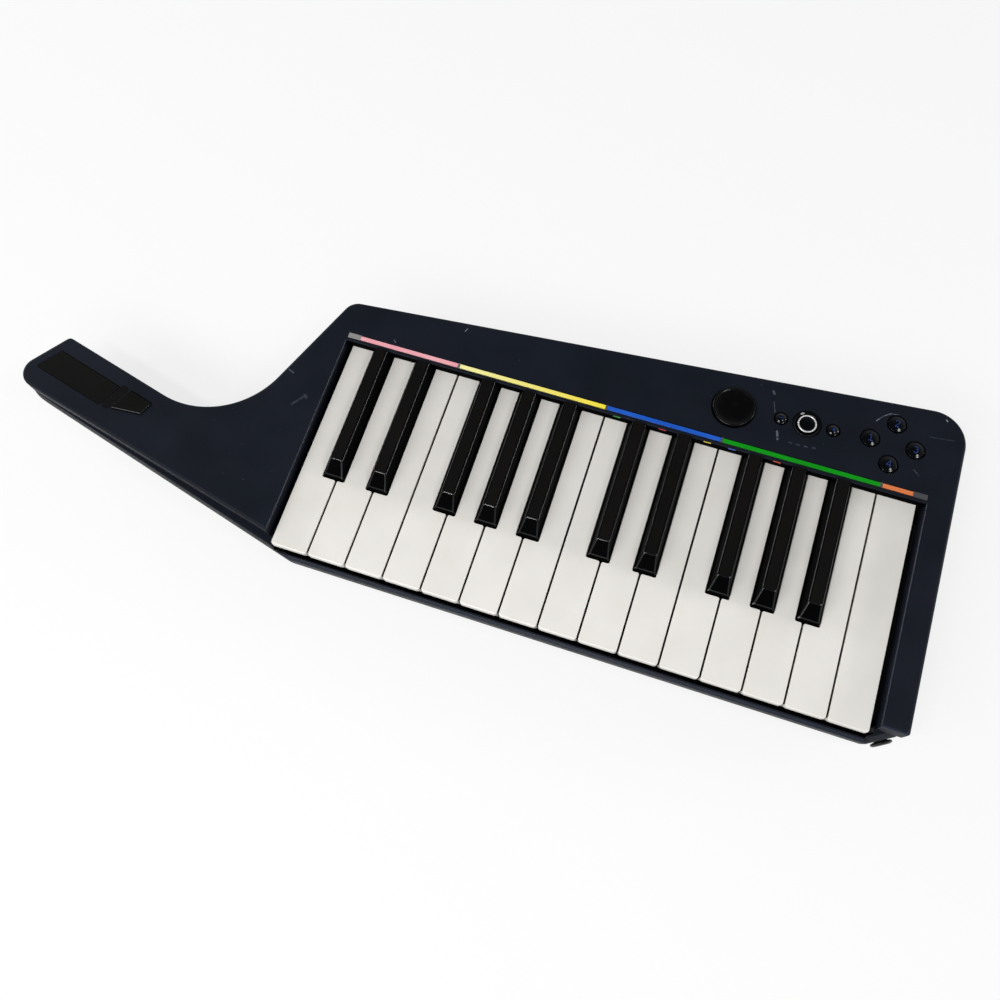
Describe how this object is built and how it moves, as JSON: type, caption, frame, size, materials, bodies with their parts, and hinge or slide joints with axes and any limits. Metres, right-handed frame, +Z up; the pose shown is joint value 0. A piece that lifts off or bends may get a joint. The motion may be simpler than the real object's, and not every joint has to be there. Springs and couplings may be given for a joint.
{
  "type": "keytar",
  "caption": "Strap-worn keyboard with a neck: full-size sprung keys in a navy casing, colour strip, round direction pad, buttons and touch strip.",
  "frame": {"origin": "middle of the bounding box on the plane of the rubber feet", "axes": "+X along the keys to the high notes, +Y to the rear of the keys, +Z up out of the keys"},
  "size_m": [0.5614, 0.1994, 0.0498],
  "materials": {
    "navy_plastic": "fine matt texture",
    "charcoal_plastic": "fine matt texture",
    "white_key": "satin",
    "black_key": "gloss sides, matt tops",
    "foot_rubber": "matt",
    "peg": "gloss",
    "touch_pad": "soft matt",
    "strip_red": "satin",
    "strip_yellow": "satin",
    "strip_blue": "satin",
    "strip_green": "satin",
    "strip_orange": "satin",
    "black_button": "gloss",
    "home_chrome": "plated",
    "inner_plastic": "matt",
    "rod_steel": "drawn",
    "circuit_board": "lacquered",
    "dome_rubber": "matt",
    "felt": "felted",
    "cell": "printed sleeve"
  },
  "bodies": {
    "housing": {"upper_housing": "navy_plastic", "lower_housing": "charcoal_plastic", "front_rail": "navy_plastic", "foot_1": "foot_rubber", "foot_2": "foot_rubber", "foot_3": "foot_rubber", "foot_4": "foot_rubber", "strap_peg_front": "peg", "strap_peg_rear": "peg", "colour_strip_red": "strip_red", "colour_strip_yellow": "strip_yellow", "colour_strip_blue": "strip_blue", "colour_strip_green": "strip_green", "colour_strip_orange": "strip_orange", "touch_strip": "touch_pad", "main_board": "circuit_board", "key_chassis": "inner_plastic", "hinge_rod": "rod_steel", "key_contact_board": "circuit_board", "dome_strip": "dome_rubber", "key_stop_felt": "felt", "midi_socket": "inner_plastic", "battery_1": "cell", "battery_2": "cell"},
    "battery_door": {"battery_door": "charcoal_plastic"},
    "dpad_pivot": {"dpad_pivot": "inner_plastic"},
    "dpad_cap": {"dpad_cap": "black_button"},
    "minus_button": {"minus_button": "black_button"},
    "home_button": {"home_button": "home_chrome"},
    "plus_button": {"plus_button": "black_button"},
    "button_1": {"button_1": "black_button"},
    "button_2": {"button_2": "black_button"},
    "button_3": {"button_3": "black_button"},
    "button_4": {"button_4": "black_button"},
    "neck_button": {"neck_button": "touch_pad"},
    "key_c_1": {"key_c_1": "white_key"},
    "key_c_sharp_1": {"key_c_sharp_1": "black_key"},
    "key_d_1": {"key_d_1": "white_key"},
    "key_d_sharp_1": {"key_d_sharp_1": "black_key"},
    "key_e_1": {"key_e_1": "white_key"},
    "key_f_1": {"key_f_1": "white_key"},
    "key_f_sharp_1": {"key_f_sharp_1": "black_key"},
    "key_g_1": {"key_g_1": "white_key"},
    "key_g_sharp_1": {"key_g_sharp_1": "black_key"},
    "key_a_1": {"key_a_1": "white_key"},
    "key_a_sharp_1": {"key_a_sharp_1": "black_key"},
    "key_b_1": {"key_b_1": "white_key"},
    "key_c_2": {"key_c_2": "white_key"},
    "key_c_sharp_2": {"key_c_sharp_2": "black_key"},
    "key_d_2": {"key_d_2": "white_key"},
    "key_d_sharp_2": {"key_d_sharp_2": "black_key"},
    "key_e_2": {"key_e_2": "white_key"},
    "key_f_2": {"key_f_2": "white_key"},
    "key_f_sharp_2": {"key_f_sharp_2": "black_key"},
    "key_g_2": {"key_g_2": "white_key"},
    "key_g_sharp_2": {"key_g_sharp_2": "black_key"},
    "key_a_2": {"key_a_2": "white_key"},
    "key_a_sharp_2": {"key_a_sharp_2": "black_key"},
    "key_b_2": {"key_b_2": "white_key"},
    "key_c_3": {"key_c_3": "white_key"}
  },
  "joints": [
    {"name": "key_c_1_hinge", "type": "hinge", "parent": "housing", "child": "key_c_1", "pos_m": [-0.0795, 0.05173, 0.0328], "axis": [1, 0, 0], "range_deg": [0, 3.5], "stiffness_Nm_per_rad": 0.4, "springref_deg": -5.73},
    {"name": "key_c_sharp_1_hinge", "type": "hinge", "parent": "housing", "child": "key_c_sharp_1", "pos_m": [-0.06985, 0.05173, 0.0328], "axis": [1, 0, 0], "range_deg": [0, 3.5], "stiffness_Nm_per_rad": 0.4, "springref_deg": -5.73},
    {"name": "key_d_1_hinge", "type": "hinge", "parent": "housing", "child": "key_d_1", "pos_m": [-0.056, 0.05173, 0.0328], "axis": [1, 0, 0], "range_deg": [0, 3.5], "stiffness_Nm_per_rad": 0.4, "springref_deg": -5.73},
    {"name": "key_d_sharp_1_hinge", "type": "hinge", "parent": "housing", "child": "key_d_sharp_1", "pos_m": [-0.04215, 0.05173, 0.0328], "axis": [1, 0, 0], "range_deg": [0, 3.5], "stiffness_Nm_per_rad": 0.4, "springref_deg": -5.73},
    {"name": "key_e_1_hinge", "type": "hinge", "parent": "housing", "child": "key_e_1", "pos_m": [-0.0325, 0.05173, 0.0328], "axis": [1, 0, 0], "range_deg": [0, 3.5], "stiffness_Nm_per_rad": 0.4, "springref_deg": -5.73},
    {"name": "key_f_1_hinge", "type": "hinge", "parent": "housing", "child": "key_f_1", "pos_m": [-0.009, 0.05173, 0.0328], "axis": [1, 0, 0], "range_deg": [0, 3.5], "stiffness_Nm_per_rad": 0.4, "springref_deg": -5.73},
    {"name": "key_f_sharp_1_hinge", "type": "hinge", "parent": "housing", "child": "key_f_sharp_1", "pos_m": [0.00045, 0.05173, 0.0328], "axis": [1, 0, 0], "range_deg": [0, 3.5], "stiffness_Nm_per_rad": 0.4, "springref_deg": -5.73},
    {"name": "key_g_1_hinge", "type": "hinge", "parent": "housing", "child": "key_g_1", "pos_m": [0.0145, 0.05173, 0.0328], "axis": [1, 0, 0], "range_deg": [0, 3.5], "stiffness_Nm_per_rad": 0.4, "springref_deg": -5.73},
    {"name": "key_g_sharp_1_hinge", "type": "hinge", "parent": "housing", "child": "key_g_sharp_1", "pos_m": [0.02625, 0.05173, 0.0328], "axis": [1, 0, 0], "range_deg": [0, 3.5], "stiffness_Nm_per_rad": 0.4, "springref_deg": -5.73},
    {"name": "key_a_1_hinge", "type": "hinge", "parent": "housing", "child": "key_a_1", "pos_m": [0.038, 0.05173, 0.0328], "axis": [1, 0, 0], "range_deg": [0, 3.5], "stiffness_Nm_per_rad": 0.4, "springref_deg": -5.73},
    {"name": "key_a_sharp_1_hinge", "type": "hinge", "parent": "housing", "child": "key_a_sharp_1", "pos_m": [0.05205, 0.05173, 0.0328], "axis": [1, 0, 0], "range_deg": [0, 3.5], "stiffness_Nm_per_rad": 0.4, "springref_deg": -5.73},
    {"name": "key_b_1_hinge", "type": "hinge", "parent": "housing", "child": "key_b_1", "pos_m": [0.0615, 0.05173, 0.0328], "axis": [1, 0, 0], "range_deg": [0, 3.5], "stiffness_Nm_per_rad": 0.4, "springref_deg": -5.73},
    {"name": "key_c_2_hinge", "type": "hinge", "parent": "housing", "child": "key_c_2", "pos_m": [0.085, 0.05173, 0.0328], "axis": [1, 0, 0], "range_deg": [0, 3.5], "stiffness_Nm_per_rad": 0.4, "springref_deg": -5.73},
    {"name": "key_c_sharp_2_hinge", "type": "hinge", "parent": "housing", "child": "key_c_sharp_2", "pos_m": [0.09465, 0.05173, 0.0328], "axis": [1, 0, 0], "range_deg": [0, 3.5], "stiffness_Nm_per_rad": 0.4, "springref_deg": -5.73},
    {"name": "key_d_2_hinge", "type": "hinge", "parent": "housing", "child": "key_d_2", "pos_m": [0.1085, 0.05173, 0.0328], "axis": [1, 0, 0], "range_deg": [0, 3.5], "stiffness_Nm_per_rad": 0.4, "springref_deg": -5.73},
    {"name": "key_d_sharp_2_hinge", "type": "hinge", "parent": "housing", "child": "key_d_sharp_2", "pos_m": [0.12235, 0.05173, 0.0328], "axis": [1, 0, 0], "range_deg": [0, 3.5], "stiffness_Nm_per_rad": 0.4, "springref_deg": -5.73},
    {"name": "key_e_2_hinge", "type": "hinge", "parent": "housing", "child": "key_e_2", "pos_m": [0.132, 0.05173, 0.0328], "axis": [1, 0, 0], "range_deg": [0, 3.5], "stiffness_Nm_per_rad": 0.4, "springref_deg": -5.73},
    {"name": "key_f_2_hinge", "type": "hinge", "parent": "housing", "child": "key_f_2", "pos_m": [0.1555, 0.05173, 0.0328], "axis": [1, 0, 0], "range_deg": [0, 3.5], "stiffness_Nm_per_rad": 0.4, "springref_deg": -5.73},
    {"name": "key_f_sharp_2_hinge", "type": "hinge", "parent": "housing", "child": "key_f_sharp_2", "pos_m": [0.16495, 0.05173, 0.0328], "axis": [1, 0, 0], "range_deg": [0, 3.5], "stiffness_Nm_per_rad": 0.4, "springref_deg": -5.73},
    {"name": "key_g_2_hinge", "type": "hinge", "parent": "housing", "child": "key_g_2", "pos_m": [0.179, 0.05173, 0.0328], "axis": [1, 0, 0], "range_deg": [0, 3.5], "stiffness_Nm_per_rad": 0.4, "springref_deg": -5.73},
    {"name": "key_g_sharp_2_hinge", "type": "hinge", "parent": "housing", "child": "key_g_sharp_2", "pos_m": [0.19075, 0.05173, 0.0328], "axis": [1, 0, 0], "range_deg": [0, 3.5], "stiffness_Nm_per_rad": 0.4, "springref_deg": -5.73},
    {"name": "key_a_2_hinge", "type": "hinge", "parent": "housing", "child": "key_a_2", "pos_m": [0.2025, 0.05173, 0.0328], "axis": [1, 0, 0], "range_deg": [0, 3.5], "stiffness_Nm_per_rad": 0.4, "springref_deg": -5.73},
    {"name": "key_a_sharp_2_hinge", "type": "hinge", "parent": "housing", "child": "key_a_sharp_2", "pos_m": [0.21655, 0.05173, 0.0328], "axis": [1, 0, 0], "range_deg": [0, 3.5], "stiffness_Nm_per_rad": 0.4, "springref_deg": -5.73},
    {"name": "key_b_2_hinge", "type": "hinge", "parent": "housing", "child": "key_b_2", "pos_m": [0.226, 0.05173, 0.0328], "axis": [1, 0, 0], "range_deg": [0, 3.5], "stiffness_Nm_per_rad": 0.4, "springref_deg": -5.73},
    {"name": "key_c_3_hinge", "type": "hinge", "parent": "housing", "child": "key_c_3", "pos_m": [0.2495, 0.05173, 0.0328], "axis": [1, 0, 0], "range_deg": [0, 3.5], "stiffness_Nm_per_rad": 0.4, "springref_deg": -5.73},
    {"name": "minus_button_press", "type": "slide", "parent": "housing", "child": "minus_button", "axis": [0, 0, -1], "range_m": [0, 0.0012], "stiffness_N_per_m": 800, "springref_m": -0.0008},
    {"name": "home_button_press", "type": "slide", "parent": "housing", "child": "home_button", "axis": [0, 0, -1], "range_m": [0, 0.0012], "stiffness_N_per_m": 800, "springref_m": -0.0008},
    {"name": "plus_button_press", "type": "slide", "parent": "housing", "child": "plus_button", "axis": [0, 0, -1], "range_m": [0, 0.0012], "stiffness_N_per_m": 800, "springref_m": -0.0008},
    {"name": "button_1_press", "type": "slide", "parent": "housing", "child": "button_1", "axis": [0, 0, -1], "range_m": [0, 0.0012], "stiffness_N_per_m": 800, "springref_m": -0.0008},
    {"name": "button_2_press", "type": "slide", "parent": "housing", "child": "button_2", "axis": [0, 0, -1], "range_m": [0, 0.0012], "stiffness_N_per_m": 800, "springref_m": -0.0008},
    {"name": "button_3_press", "type": "slide", "parent": "housing", "child": "button_3", "axis": [0, 0, -1], "range_m": [0, 0.0012], "stiffness_N_per_m": 800, "springref_m": -0.0008},
    {"name": "button_4_press", "type": "slide", "parent": "housing", "child": "button_4", "axis": [0, 0, -1], "range_m": [0, 0.0012], "stiffness_N_per_m": 800, "springref_m": -0.0008},
    {"name": "neck_button_press", "type": "slide", "parent": "housing", "child": "neck_button", "axis": [0, 0, -1], "range_m": [0, 0.0012], "stiffness_N_per_m": 800, "springref_m": -0.0008},
    {"name": "dpad_pivot_tilt", "type": "hinge", "parent": "housing", "child": "dpad_pivot", "pos_m": [0.14535, 0.06633, 0.0428], "axis": [1, 0, 0], "range_deg": [-3.5, 3.5], "stiffness_Nm_per_rad": 0.14},
    {"name": "dpad_cap_tilt", "type": "hinge", "parent": "dpad_pivot", "child": "dpad_cap", "pos_m": [0.14535, 0.06633, 0.0428], "axis": [0, 1, 0], "range_deg": [-3.5, 3.5], "stiffness_Nm_per_rad": 0.14},
    {"name": "battery_door_hinge", "type": "hinge", "parent": "housing", "child": "battery_door", "pos_m": [-0.09705, -0.05727, 0.0028], "axis": [0, -1, 0], "range_deg": [0, 75]}
  ]
}
